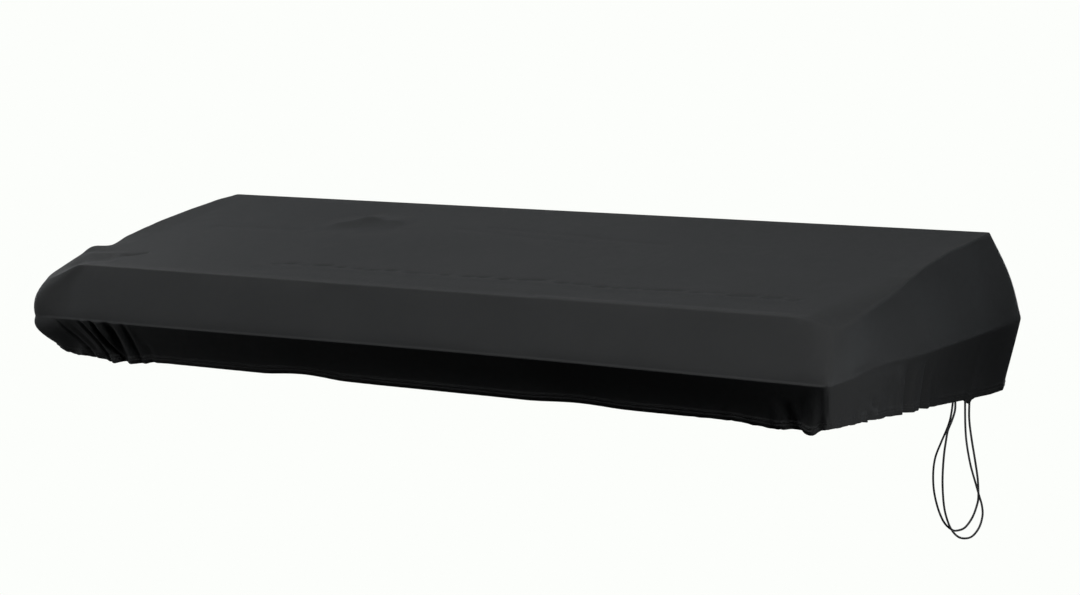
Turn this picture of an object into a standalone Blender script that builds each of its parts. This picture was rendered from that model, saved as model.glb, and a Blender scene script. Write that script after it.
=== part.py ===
# Fitted stretch dust cover: one cloth shell with a gathered hem, and two elastic cord loops
# that hang from the hem at the right end. The instrument that it covers is left out.
#
# The tables measure in metres from the middle of the length (X, + to the right end), from the
# front edge (Y, + to the back) and from the widest line (Z, + up). The origin of the finished
# solids is the middle of the top's inner face, where the instrument bears.

import bpy
import bmesh
from math import exp, hypot, pi, radians, sin
from mathutils import Vector

# Driving sizes
DEPTH = 0.400            # front edge to back edge, at the widest line
FRONT_RIDGE = 0.0565     # height of the front ridge over the widest line
FRONT_SETBACK = 0.0345   # front ridge behind the front edge
BACK_RIDGE = 0.0988      # height of the back ridge
BACK_SETBACK = 0.0593    # back ridge before the back edge
HEM_FRONT = 0.0433       # drop of the hem under the widest line, at the front edge
HEM_RAKE = 0.077         # how much deeper the hem lies for each metre towards the back
CLOTH = 0.002            # cloth
CORD = 0.0022            # elastic cord
FIT = 0.0003             # between a cord's end and the hem
CLOTH_COLOUR = (0.028, 0.029, 0.030)
CORD_COLOUR = (0.035, 0.036, 0.038)

# Rings around the cover, from the top down: reach to the left and right of the middle at the
# front and at the back, front and back line, and the plan radius of the corners.
RINGS = {
    "ridge": dict(left_front=0.505, left_back=0.506, right_front=0.499, right_back=0.5055,
                  front=FRONT_SETBACK, back=DEPTH - BACK_SETBACK,
                  left_round=0.010, right_round=0.023, back_round=0.004),
    "widest": dict(left_front=0.516, left_back=0.512, right_front=0.508, right_back=0.508,
                   front=0.0, back=DEPTH, left_round=0.006, right_round=0.006, back_round=0.005),
    "hem": dict(left_front=0.492, left_back=0.496, right_front=0.4945, right_back=0.497,
                front=0.022, back=DEPTH - 0.020, left_round=0.014, right_round=0.005, back_round=0.012),
}

# Rows of the side wall, from the ridge down: the two rings that a row lies between, how far it is
# from the first to the second, and how much of the way in it is, because the cloth hugs inwards.
SIDE_ROWS = (
    ("ridge", "widest", 0.10, 0.10),
    ("ridge", "widest", 0.50, 0.50),
    ("ridge", "widest", 0.90, 0.90),
    ("widest", "hem", 0.00, 0.00),
    ("widest", "hem", 0.10, 0.16),
    ("widest", "hem", 0.33, 0.45),
    ("widest", "hem", 0.58, 0.70),
    ("widest", "hem", 0.82, 0.90),
    ("widest", "hem", 1.00, 1.00),
)

# Columns along the length and the depth: the place that a band ends at, and its steps.
LENGTH_BANDS = (("left corner", -0.476, 4), ("left gathers", -0.350, 17), ("hump", -0.140, 9),
                ("middle", 0.400, 12), ("right pucker", 0.476, 7), ("right corner", 0.508, 4))
DEPTH_BANDS = (("front corner", 0.034, 4), ("front strip", 0.086, 4), ("imprint", 0.104, 3),
               ("end gathers", 0.234, 18), ("before the exit", 0.290, 4), ("cord exit", 0.322, 5),
               ("back", 0.392, 4), ("back corner", 0.400, 1))

# How far each end's ridge lies over (+) or under (-) the plane of the top, from front to back.
END_RIDGE = (
    dict(y=0.015, left=-0.0090, right=-0.0160),
    dict(y=0.050, left=-0.0060, right=-0.0110),
    dict(y=0.088, left=0.0040, right=-0.0070),
    dict(y=0.122, left=-0.0030, right=-0.0048),
    dict(y=0.150, left=0.0010, right=-0.0032),
    dict(y=0.180, left=0.0025, right=-0.0005),
    dict(y=0.206, left=0.0035, right=0.0048),
    dict(y=0.250, left=0.0035, right=0.0042),
    dict(y=0.300, left=0.0025, right=0.0020),
    dict(y=0.340, left=0.0000, right=0.0000),
)
# Length over which the top turns down to an end ridge, at the front and at the back
SHOULDER = dict(left_front=0.028, left_back=0.030, right_front=0.034, right_back=0.045)
SHOULDER_CURVE = 1.7     # 1 turns down in a straight slope, more keeps flat and then rolls over

# Places where the cloth is drawn out of line: the ring, or the wall between two rings where the
# pull is strongest half way down, the place along a side, its reach, and the shift there.
PULLS = (
    dict(of="ridge", side="front", at=-0.500, reach=0.020, dx=0.0, dy=-0.018, dz=-0.003),
    dict(of="upper wall", side="front", at=-0.512, reach=0.050, dx=0.0, dy=-0.0065, dz=0.0),
    dict(of="upper wall", side="right", at=0.370, reach=0.060, dx=0.0055, dy=0.0030, dz=0.0),
    dict(of="widest", side="right", at=0.400, reach=0.030, dx=0.0, dy=0.0, dz=0.0027),
    dict(of="widest", side="right", at=0.110, reach=0.080, dx=-0.006, dy=0.0, dz=0.0015),
    dict(of="widest", side="right", at=0.350, reach=0.040, dx=0.004, dy=0.0, dz=0.0),
    dict(of="widest", side="front", at=0.100, reach=0.450, dx=0.0, dy=0.0, dz=0.0020),
    dict(of="lower wall", side="front", at=-0.506, reach=0.050, dx=-0.0100, dy=-0.0110, dz=0.0),
    dict(of="lower wall", side="right", at=0.390, reach=0.040, dx=0.0035, dy=0.0040, dz=0.0),
    dict(of="hem", side="right", at=0.380, reach=0.030, dx=0.0, dy=0.0, dz=0.0022),
    dict(of="hem", side="front", at=-0.400, reach=0.055, dx=0.0, dy=0.0, dz=-0.0045),
    dict(of="hem", side="front", at=-0.140, reach=0.060, dx=0.0, dy=0.0, dz=0.0035),
    dict(of="hem", side="front", at=0.210, reach=0.060, dx=0.0, dy=0.0, dz=0.0018),
    dict(of="hem", side="front", at=0.440, reach=0.055, dx=0.0, dy=0.0, dz=-0.0038),
    dict(of="hem", side="front", at=0.4775, reach=0.011, dx=0.0, dy=-0.002, dz=-0.0055),
    dict(of="hem", side="right", at=0.306, reach=0.011, dx=0.002, dy=0.0, dz=-0.0045),
)

# Soft relief of the top: a ridge (+) or trough (-) along a line, its half width and height.
TOP_FOLDS = (
    dict(name="hump", x1=-0.275, y1=0.283, x2=-0.215, y2=0.300, width=0.030, height=0.0040),
    dict(name="hump foot", x1=-0.250, y1=0.238, x2=-0.200, y2=0.252, width=0.024, height=-0.0015),
    dict(name="imprint", x1=-0.250, y1=0.094, x2=0.430, y2=0.096, width=0.006, height=-0.0014),
    dict(name="imprint lip", x1=-0.250, y1=0.084, x2=0.430, y2=0.085, width=0.007, height=0.0008),
    dict(name="left wrinkle", x1=-0.490, y1=0.070, x2=-0.405, y2=0.094, width=0.007, height=0.0022),
    dict(name="left trough", x1=-0.490, y1=0.048, x2=-0.420, y2=0.064, width=0.008, height=-0.0020),
)

# Gathers of the side walls: side, place at the top and at the hem, how far up from the hem the
# gather reaches (1 is the widest line), half width and depth of its trough.
GATHERS = (
    dict(side="front", top=-0.508, hem=-0.452, rise=1.00, width=0.0065, depth=0.0030),
    dict(side="front", top=-0.486, hem=-0.428, rise=1.00, width=0.0065, depth=0.0035),
    dict(side="front", top=-0.462, hem=-0.404, rise=1.00, width=0.0070, depth=0.0040),
    dict(side="front", top=-0.436, hem=-0.386, rise=1.00, width=0.0065, depth=0.0040),
    dict(side="front", top=-0.410, hem=-0.368, rise=0.95, width=0.0060, depth=0.0025),
    dict(side="front", top=-0.380, hem=-0.352, rise=0.50, width=0.0060, depth=0.0018),
    dict(side="front", top=0.452, hem=0.458, rise=0.60, width=0.0060, depth=0.0025),
    dict(side="right", top=0.120, hem=0.128, rise=0.55, width=0.0060, depth=0.0025),
    dict(side="right", top=0.147, hem=0.154, rise=0.60, width=0.0050, depth=0.0018),
    dict(side="right", top=0.172, hem=0.190, rise=0.80, width=0.0065, depth=0.0030),
    dict(side="right", top=0.212, hem=0.220, rise=0.75, width=0.0060, depth=0.0028),
    dict(side="left", top=0.080, hem=0.092, rise=0.80, width=0.0070, depth=0.0028),
    dict(side="left", top=0.128, hem=0.136, rise=0.70, width=0.0065, depth=0.0025),
    dict(side="left", top=0.188, hem=0.192, rise=0.60, width=0.0065, depth=0.0025),
    dict(side="back", top=-0.452, hem=-0.440, rise=0.60, width=0.0080, depth=0.0025),
    dict(side="back", top=0.448, hem=0.436, rise=0.60, width=0.0080, depth=0.0025),
)
GATHER_LIP = dict(height=0.45, aside=1.9)    # the raised cloth beside a trough, in its own units
GATHER_FADE = dict(past=0.12, over=0.35)     # how a gather dies out above its rise

# Small waves of the hem's edge near the ends: along the right end up to `end_reach` from the
# front, and along the front and back from `front_from` to full strength `front_over` later.
RUFFLE = dict(height=0.0012, pitch=0.026, end_reach=0.30, front_from=0.30, front_over=0.10, lift=0.6)

# Routes of the two loops, from the front exit in the hem to the back one. The first and last
# points give only X and Y: their height is the hem's.
CORD_ROUTES = {
    "cord_loop_short": (
        (0.4945, 0.2742, None), (0.4925, 0.2742, -0.0745), (0.4905, 0.2736, -0.0840),
        (0.4875, 0.2718, -0.0935), (0.4830, 0.2688, -0.1057), (0.4778, 0.2662, -0.1208),
        (0.4757, 0.2652, -0.1368), (0.4760, 0.2658, -0.1556), (0.4784, 0.2699, -0.1750),
        (0.4818, 0.2758, -0.1895), (0.4861, 0.2832, -0.1978), (0.4892, 0.2886, -0.1998),
        (0.4940, 0.2968, -0.1980), (0.4985, 0.3045, -0.1890), (0.5013, 0.3095, -0.1774),
        (0.5024, 0.3113, -0.1680), (0.5021, 0.3109, -0.1498), (0.5004, 0.3087, -0.1293),
        (0.4974, 0.3074, -0.1068), (0.4950, 0.3078, -0.0873), (0.4950, 0.3088, None),
    ),
    "cord_loop_long": (
        (0.4945, 0.2788, None), (0.4957, 0.2755, -0.0725), (0.4947, 0.2702, -0.0825),
        (0.4920, 0.2666, -0.0920), (0.4897, 0.2664, -0.1035), (0.4873, 0.2670, -0.1160),
        (0.4858, 0.2667, -0.1324), (0.4855, 0.2661, -0.1485), (0.4860, 0.2670, -0.1673),
        (0.4874, 0.2694, -0.1814), (0.4903, 0.2742, -0.1950), (0.4940, 0.2809, -0.2036),
        (0.4983, 0.2883, -0.2068), (0.5029, 0.2959, -0.2056), (0.5070, 0.3032, -0.1975),
        (0.5090, 0.3068, -0.1860), (0.5087, 0.3063, -0.1755), (0.5070, 0.3034, -0.1640),
        (0.5053, 0.3000, -0.1520), (0.5020, 0.2952, -0.1314), (0.4990, 0.2934, -0.1089),
        (0.4966, 0.2958, -0.0908), (0.4950, 0.2992, None),
    ),
}
STEP = 0.0055            # between the points of a cord's tube

OUTWARDS = {"front": (0.0, -1.0), "back": (0.0, 1.0), "left": (-1.0, 0.0), "right": (1.0, 0.0)}


def mix(a, b, part):
    return a + (b - a) * part


def ease(part):
    part = min(max(part, 0.0), 1.0)
    return part * part * (3 - 2 * part)


def bump(distance, reach):
    """1 at a place, falling smoothly to 0 at its reach."""
    return max(0.0, 1 - (distance / reach) ** 2) ** 2


def plane_height(y):
    """Height of the flat stretch of cloth between the front ridge and the back ridge."""
    run = DEPTH - BACK_SETBACK - FRONT_SETBACK
    return mix(FRONT_RIDGE, BACK_RIDGE, (y - FRONT_SETBACK) / run)


def end_lift(side, y):
    """How far an end's ridge lies off the top's plane."""
    rows = END_RIDGE
    if y <= rows[0]["y"]:
        return rows[0][side]
    for low, high in zip(rows, rows[1:]):
        if y <= high["y"]:
            return mix(low[side], high[side], ease((y - low["y"]) / (high["y"] - low["y"])))
    return rows[-1][side]


def reach_at(ring, side, back):
    row = RINGS[ring]
    return mix(row[side + "_front"], row[side + "_back"], back)


def plan_point(ring, across, back):
    """X and Y of a ring's scaled outline: across is -1 to 1 by length, back is 0 to 1 by depth."""
    row = RINGS[ring]
    side = "left" if across < 0 else "right"
    reach = reach_at(ring, side, back)
    x, y = abs(across) * reach, mix(row["front"], row["back"], back)
    round_off = row[side + "_round"] if back < 0.5 else row["back_round"]
    middle = (row["front"] + row["back"]) / 2
    over_x = (x - (reach - round_off)) / round_off
    over_y = (abs(y - middle) - (row["back"] - middle - round_off)) / round_off
    if over_x > 0 and over_y > 0:
        pull_in = max(over_x, over_y) / hypot(over_x, over_y)
        x += over_x * (pull_in - 1) * round_off
        y -= over_y * (pull_in - 1) * round_off * (1 if y < middle else -1)
    return (-x if across < 0 else x), y


def top_height(x, y):
    """The top's plane with each end turned down, or lifted, towards its own ridge."""
    side = "left" if x < 0 else "right"
    reach = reach_at("ridge", side, y / DEPTH)
    shoulder = mix(SHOULDER[side + "_front"], SHOULDER[side + "_back"], y / DEPTH)
    past = (abs(x) - (reach - shoulder)) / shoulder
    return plane_height(y) + end_lift(side, y) * min(max(past, 0.0), 1.0) ** SHOULDER_CURVE


def pulled(point, where, strength):
    """The point after the pulls of a ring or wall, whose places are measured on that outline."""
    ring = {"upper wall": "widest", "lower wall": "widest"}.get(where, where)
    shift = Vector((0.0, 0.0, 0.0))
    for pull in PULLS:
        if pull["of"] != where:
            continue
        if pull["side"] in ("front", "back"):
            centre = (pull["at"], RINGS[ring][pull["side"]])
        else:
            sign = OUTWARDS[pull["side"]][0]
            centre = (sign * reach_at(ring, pull["side"], pull["at"] / DEPTH), pull["at"])
        weight = bump(hypot(point.x - centre[0], point.y - centre[1]), pull["reach"])
        shift += Vector((pull["dx"], pull["dy"], pull["dz"])) * weight * strength
    return point + shift


def ring_point(ring, across, back):
    """A point of a ring, with the pulls that draw the cloth out of line there."""
    x, y = plan_point(ring, across, back)
    height = {"ridge": top_height(x, y), "widest": 0.0, "hem": -HEM_FRONT - HEM_RAKE * y}[ring]
    return pulled(Vector((x, y, height)), ring, 1.0)


def top_relief(x, y):
    """Height of the soft ridges and troughs of the top."""
    height = 0.0
    for fold in TOP_FOLDS:
        along = Vector((fold["x2"] - fold["x1"], fold["y2"] - fold["y1"]))
        start = Vector((x - fold["x1"], y - fold["y1"]))
        part = min(max(start.dot(along) / along.length_squared, 0.0), 1.0)
        distance = (start - along * part).length
        height += fold["height"] * exp(-(distance / fold["width"]) ** 2)
    return height


def gather_depth(side, place, up):
    """How far the wall stands out at a place along a side; up is 0 at the hem, 1 at the widest."""
    out = 0.0
    for gather in GATHERS:
        if gather["side"] != side:
            continue
        strength = ease((gather["rise"] + GATHER_FADE["past"] - up) / GATHER_FADE["over"])
        aside = abs(place - mix(gather["hem"], gather["top"], up)) / gather["width"]
        lip = GATHER_LIP["height"] * exp(-(aside - GATHER_LIP["aside"]) ** 2)
        out += gather["depth"] * strength * (lip - exp(-aside ** 2))
    return out


def ruffle(side, place):
    """How far the hem's edge waves in and out at a place along a side."""
    if side in ("left", "right"):
        strength = bump(place, RUFFLE["end_reach"])
    else:
        strength = ease((abs(place) - RUFFLE["front_from"]) / RUFFLE["front_over"])
    return RUFFLE["height"] * strength * sin(2 * pi * place / RUFFLE["pitch"])


def side_of(across, back):
    if back <= 0.0:
        return "front"
    if back >= 1.0:
        return "back"
    return "left" if across < 0 else "right"


def wall_point(across, back, row):
    """A point of the side wall in one of its rows."""
    upper, lower, down, inwards = row
    high, low = ring_point(upper, across, back), ring_point(lower, across, back)
    point = Vector((mix(high.x, low.x, inwards), mix(high.y, low.y, inwards), mix(high.z, low.z, down)))
    point = pulled(point, "lower wall" if lower == "hem" else "upper wall", 4 * down * (1 - down))
    side = side_of(across, back)
    out = Vector(OUTWARDS[side] + (0.0,))
    place = point.x if side in ("front", "back") else point.y
    if lower == "hem":
        point += out * gather_depth(side, place, 1 - down)
    if lower == "hem" and down == 1.0:
        wave = ruffle(side, place)
        point += out * wave + Vector((0.0, 0.0, wave * RUFFLE["lift"]))
    return point


def top_point(across, back):
    x, y = plan_point("ridge", across, back)
    edge = ring_point("ridge", across, back)
    return Vector((edge.x, edge.y, edge.z + top_relief(x, y)))


def places(start, bands):
    """The place of each column, from the bands that share out their steps evenly."""
    found = [start]
    for name, end, steps in bands:
        begin = found[-1]
        found += [mix(begin, end, (step + 1) / steps) for step in range(steps)]
    return found


def fabric(name, colour, roughness):
    material = bpy.data.materials.new(name)
    material.use_nodes = True
    shader = material.node_tree.nodes["Principled BSDF"]
    shader.inputs["Base Color"].default_value = (*colour, 1.0)
    shader.inputs["Roughness"].default_value = roughness
    shader.inputs["Metallic"].default_value = 0.0
    return material


ORIGIN = Vector((0.0, DEPTH / 2, plane_height(DEPTH / 2) - CLOTH))    # middle of the top, inside


def make_cover(collection):
    """An open box, cut into columns and rows, whose points are set on the cloth's surface."""
    columns = places(-RINGS["widest"]["left_front"], LENGTH_BANDS)
    ranks = places(0.0, DEPTH_BANDS)
    bm = bmesh.new()
    bmesh.ops.create_cube(bm, size=1.0)
    floor = [face for face in bm.faces if face.calc_center_median().z < -0.4]
    bmesh.ops.delete(bm, geom=floor, context="FACES_ONLY")
    for axis, cuts in enumerate((len(columns) - 2, len(ranks) - 2, len(SIDE_ROWS) - 1)):
        edges = [edge for edge in bm.edges
                 if abs(edge.verts[0].co[axis] - edge.verts[1].co[axis]) > 0.9]
        bmesh.ops.subdivide_edges(bm, edges=edges, cuts=cuts, use_grid_fill=True)
    for vert in bm.verts:
        column = round((vert.co.x + 0.5) * (len(columns) - 1))
        rank = round((vert.co.y + 0.5) * (len(ranks) - 1))
        row = round((0.5 - vert.co.z) * len(SIDE_ROWS))
        x = columns[column]
        across = x / (RINGS["widest"]["left_front"] if x < 0 else RINGS["widest"]["right_front"])
        back = ranks[rank] / DEPTH
        point = wall_point(across, back, SIDE_ROWS[row - 1]) if row else top_point(across, back)
        vert.co = point - ORIGIN
    mesh = bpy.data.meshes.new("cover")
    bm.to_mesh(mesh)
    bm.free()
    mesh.shade_smooth()
    mesh.set_sharp_from_angle(angle=radians(40))
    cover = bpy.data.objects.new("cover", mesh)
    collection.objects.link(cover)
    thick = cover.modifiers.new("cloth", "SOLIDIFY")
    thick.thickness = CLOTH
    thick.offset = -1.0
    thick.use_even_offset = True
    mesh.materials.append(fabric("stretch_cloth", CLOTH_COLOUR, 0.85))
    return cover


def hem_height(y):
    """Lowest point of the right end's hem within a cord's width of a place."""
    edge = [wall_point(1.0, rank / DEPTH, SIDE_ROWS[-1]) for rank in places(0.0, DEPTH_BANDS)]
    near = []
    for place in (y - CORD / 2, y, y + CORD / 2):
        for low, high in zip(edge, edge[1:]):
            if low.y <= place <= high.y:
                near.append(mix(low.z, high.z, (place - low.y) / (high.y - low.y)))
    return min(near)


def smooth_route(points, step):
    """Points at even steps along a smooth curve through the route's own points."""
    curve = []
    ends = [points[0] * 2 - points[1]] + points + [points[-1] * 2 - points[-2]]
    for before, start, end, after in zip(ends, ends[1:], ends[2:], ends[3:]):
        for part in (index / 24 for index in range(24)):
            bend = (2 * start + (end - before) * part
                    + (2 * before - 5 * start + 4 * end - after) * part ** 2
                    + (3 * start - before - 3 * end + after) * part ** 3)
            curve.append(bend / 2)
    curve.append(points[-1])
    length = sum((b - a).length for a, b in zip(curve, curve[1:]))
    spacing = length / round(length / step)
    found, walked = [curve[0]], 0.0
    for a, b in zip(curve, curve[1:]):
        walked += (b - a).length
        if walked >= spacing * len(found) - 1e-6:
            found.append(b)
    found[-1] = curve[-1]
    return found


def make_cord(collection, name, route):
    points = [Vector((x, y, hem_height(y) - FIT if z is None else z)) - ORIGIN for x, y, z in route]
    curve = bpy.data.curves.new(name, "CURVE")
    curve.dimensions = "3D"
    curve.bevel_depth = CORD / 2
    curve.bevel_resolution = 2
    curve.use_fill_caps = True
    track = smooth_route(points, STEP)
    spline = curve.splines.new("POLY")
    spline.points.add(len(track) - 1)
    for spot, place in zip(spline.points, track):
        spot.co = (*place, 1.0)
    cord = bpy.data.objects.new(name, curve)
    collection.objects.link(cord)
    curve.materials.append(fabric(name + "_elastic", CORD_COLOUR, 0.75))
    return cord


def main():
    for thing in list(bpy.data.objects):
        bpy.data.objects.remove(thing, do_unlink=True)
    collection = bpy.data.collections.new("keyboard_dust_cover")
    bpy.context.scene.collection.children.link(collection)
    make_cover(collection)
    for name, route in CORD_ROUTES.items():
        make_cord(collection, name, route)


main()
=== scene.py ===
import random
from math import cos, exp, hypot, pi, sin, tau

import bmesh
import bpy
from mathutils import Matrix, Vector


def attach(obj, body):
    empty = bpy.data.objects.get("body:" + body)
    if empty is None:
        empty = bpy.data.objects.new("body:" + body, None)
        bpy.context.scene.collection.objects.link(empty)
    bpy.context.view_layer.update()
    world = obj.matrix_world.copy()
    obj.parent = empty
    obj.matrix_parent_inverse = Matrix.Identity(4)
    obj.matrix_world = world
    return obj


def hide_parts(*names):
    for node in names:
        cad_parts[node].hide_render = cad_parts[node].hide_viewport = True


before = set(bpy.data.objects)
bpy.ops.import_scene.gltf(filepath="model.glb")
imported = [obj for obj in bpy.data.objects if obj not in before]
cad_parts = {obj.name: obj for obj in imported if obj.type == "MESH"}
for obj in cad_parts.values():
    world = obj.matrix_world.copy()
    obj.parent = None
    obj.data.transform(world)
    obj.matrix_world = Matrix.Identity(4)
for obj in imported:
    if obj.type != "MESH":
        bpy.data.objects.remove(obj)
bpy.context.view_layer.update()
print("frame loaded:", len(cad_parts), "nodes")


# sizes that the pieces share
# Places are measured from the middle of the length (X), the front edge (Y) and the widest line (Z).
cover = dict(
    depth=0.400,
    frontRidge=0.0565, frontSetback=0.0345,    # height over the widest line, distance behind the front edge
    backRidge=0.0988, backSetback=0.0593,
    hemFront=0.0433, hemRake=0.077,            # drop of the hem at the front, and how much deeper per metre
    hug=1.47,                                  # how early the lower wall turns in
    solidCloth=0.002,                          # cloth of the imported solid, which sets the origin
    cloth=0.0009,                              # cloth of this model
    shoulderCurve=1.7,                         # how sharply the top turns down to an end
)
# rounding of the turned lines: rows beside them and passes, more at the front of the right end
rounding = dict(blend=0.5, rows=2, ridgePasses=1, widestPasses=1,
                softRows=7, softPasses=9, softFrom=0.455, softDepth=0.16)

# rings from the top down: reach left and right of the middle, front and back line, corner radii
rings = {
    "ridge": dict(leftFront=0.505, leftBack=0.506, rightFront=0.499, rightBack=0.5055,
                  front=0.0345, back=0.3407, leftRound=0.010, rightRound=0.023, backRound=0.004),
    "widest": dict(leftFront=0.516, leftBack=0.512, rightFront=0.508, rightBack=0.511,
                   front=0.0, back=0.400, leftRound=0.006, rightRound=0.006, backRound=0.005),
    "hem": dict(leftFront=0.498, leftBack=0.496, rightFront=0.4945, rightBack=0.4958,
                front=0.022, back=0.380, leftRound=0.009, rightRound=0.005, backRound=0.007),
}

# how far each end's ridge lies off the top's plane, from front to back
endRidge = (
    dict(y=0.015, left=-0.0090, right=-0.0160), dict(y=0.050, left=-0.0060, right=-0.0110),
    dict(y=0.088, left=0.0040, right=-0.0070), dict(y=0.122, left=-0.0030, right=-0.0048),
    dict(y=0.150, left=0.0010, right=-0.0030), dict(y=0.180, left=0.0025, right=0.0004),
    dict(y=0.206, left=0.0035, right=0.0036), dict(y=0.250, left=0.0035, right=0.0044),
    dict(y=0.300, left=0.0025, right=0.0020), dict(y=0.340, left=0.0, right=0.0),
)
# how far before an end the top starts to turn
shoulder = dict(leftFront=0.028, leftBack=0.030, rightFront=0.034, rightBack=0.045)

# where the cloth is drawn out of line: ring or wall, place along a side, reach, and shift
pulls = (
    dict(of="ridge", side="front", at=-0.502, reach=0.034, dx=-0.008, dy=-0.013, dz=-0.0135),
    dict(of="ridge", side="left", at=0.048, reach=0.026, dx=-0.007, dy=0.0, dz=0.002),
    dict(of="upper", side="front", at=-0.512, reach=0.050, dx=-0.0032, dy=-0.0065, dz=0.0020),
    dict(of="upper", side="right", at=0.370, reach=0.060, dx=0.0035, dy=0.0030, dz=0.0),
    dict(of="widest", side="right", at=0.400, reach=0.030, dx=0.0, dy=0.0, dz=0.0027),
    dict(of="widest", side="right", at=0.110, reach=0.080, dx=-0.006, dy=0.0, dz=0.0015),
    dict(of="widest", side="front", at=0.100, reach=0.450, dx=0.0, dy=0.0, dz=0.0020),
    dict(of="lower", side="front", at=-0.506, reach=0.050, dx=-0.0100, dy=-0.0125, dz=0.0),
    dict(of="hem", side="front", at=-0.500, reach=0.030, dx=0.0, dy=0.0, dz=0.0045),
    dict(of="lower", side="right", at=0.390, reach=0.060, dx=0.0020, dy=0.0020, dz=0.0),
    dict(of="hem", side="right", at=0.380, reach=0.040, dx=0.0030, dy=0.0030, dz=0.0),
    dict(of="hem", side="right", at=0.380, reach=0.030, dx=0.0, dy=0.0, dz=0.0022),
    dict(of="hem", side="front", at=-0.400, reach=0.055, dx=0.0, dy=0.0, dz=-0.0045),
    dict(of="hem", side="front", at=-0.140, reach=0.060, dx=0.0, dy=0.0, dz=0.0035),
    dict(of="hem", side="front", at=0.210, reach=0.060, dx=0.0, dy=0.0, dz=0.0018),
    dict(of="hem", side="front", at=0.440, reach=0.055, dx=0.0, dy=0.0, dz=-0.0038),
    dict(of="hem", side="front", at=0.4775, reach=0.011, dx=0.0, dy=-0.002, dz=-0.0055),
    dict(of="hem", side="right", at=0.306, reach=0.011, dx=0.0, dy=0.0, dz=-0.0045),
)
outwards = {"front": (0.0, -1.0), "back": (0.0, 1.0), "left": (-1.0, 0.0), "right": (1.0, 0.0)}


def mix(a, b, part):
    return a + (b - a) * part


def ease(part):
    part = min(max(part, 0.0), 1.0)
    return part * part * (3 - 2 * part)


def bump(distance, reach):    # 1 at a place, falling smoothly to 0 at its reach
    return max(0.0, 1 - (distance / reach) ** 2) ** 2


def planeHeight(y):    # the flat stretch of cloth between the front ridge and the back ridge
    run = cover["depth"] - cover["backSetback"] - cover["frontSetback"]
    return mix(cover["frontRidge"], cover["backRidge"], (y - cover["frontSetback"]) / run)


origin = Vector((0.0, cover["depth"] / 2, planeHeight(cover["depth"] / 2) - cover["solidCloth"]))


# camera
camera = dict(
    place=(1.7223, -2.1329, 0.4760),      # from the same zero as the cover's places
    yaw=-0.6234, pitch=0.1556, roll=0.0374,
    lens=90.89, film=36.0,
)


def makeCamera():
    yaw, pitch, roll = camera["yaw"], camera["pitch"], camera["roll"]
    ahead = Vector((sin(yaw) * cos(pitch), cos(yaw) * cos(pitch), -sin(pitch)))
    level = Vector((cos(yaw), -sin(yaw), 0.0))
    down = ahead.cross(level)
    right = level * cos(roll) + down * sin(roll)
    below = down * cos(roll) - level * sin(roll)
    view = bpy.data.cameras.new("photo_view")
    view.sensor_width = camera["film"]
    view.lens = camera["lens"]
    view.clip_end = 200.0
    seen = bpy.data.objects.new("photo_view", view)
    turned = Matrix((right, -below, -ahead)).transposed().to_4x4()
    seen.matrix_world = Matrix.Translation(Vector(camera["place"]) - origin) @ turned
    bpy.context.scene.collection.objects.link(seen)
    bpy.context.scene.camera = seen


makeCamera()
print("camera set")


# materials: shader maths written as sums
class Wire:    # a socket that can be added, multiplied and so on
    def __init__(self, shader, socket):
        self.shader, self.socket = shader, socket

    def calc(self, operation, *others, clamp=False):
        return self.shader.node("ShaderNodeMath", dict(operation=operation, use_clamp=clamp),
                                *[self, *others])

    def __add__(self, other):
        return self.calc("ADD", other)

    def __sub__(self, other):
        return self.calc("SUBTRACT", other)

    def __rsub__(self, other):
        return self.shader.node("ShaderNodeMath", dict(operation="SUBTRACT"), other, self)

    def __mul__(self, other):
        return self.calc("MULTIPLY", other)

    def __truediv__(self, other):
        return self.calc("DIVIDE", other)

    def __abs__(self):
        return self.calc("ABSOLUTE")

    __radd__, __rmul__ = __add__, __mul__


class Shader:    # one material and the nodes that feed its surface
    def __init__(self, name, fixed):
        self.material = bpy.data.materials.new(name)
        self.material.use_nodes = True
        self.tree = self.material.node_tree
        self.surface = self.tree.nodes["Principled BSDF"]
        for socket, value in fixed.items():
            self.surface.inputs[socket].default_value = value

    def put(self, socket, value):
        if isinstance(value, Wire):
            self.tree.links.new(value.socket, socket)
        elif value is not None:
            socket.default_value = value

    def node(self, kind, settings=None, *ordered, out=0, **named):
        made = self.tree.nodes.new(kind)
        for name, value in (settings or {}).items():
            setattr(made, name, value)
        for socket, value in zip(made.inputs, ordered):
            self.put(socket, value)
        for name, value in named.items():
            self.put(made.inputs[name], value)
        return Wire(self, made.outputs[out])

    def blend(self, factor, low, high):    # two colours
        made = self.tree.nodes.new("ShaderNodeMix")
        made.data_type = "RGBA"
        for index, value in ((0, factor), (6, low), (7, high)):
            self.put(made.inputs[index], value)
        return Wire(self, made.outputs[2])

    def noise(self, where, scale, detail=3.0, roughness=0.5):
        return self.node("ShaderNodeTexNoise", dict(noise_dimensions="3D"), Vector=where, Scale=scale,
                         Detail=detail, Roughness=roughness)

    def feed(self, socket, value):
        self.put(self.surface.inputs[socket], value)


def apart(shader, vector):    # the three parts of a vector
    made = shader.node("ShaderNodeSeparateXYZ", None, vector)
    return [Wire(shader, socket) for socket in made.socket.node.outputs]


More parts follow.
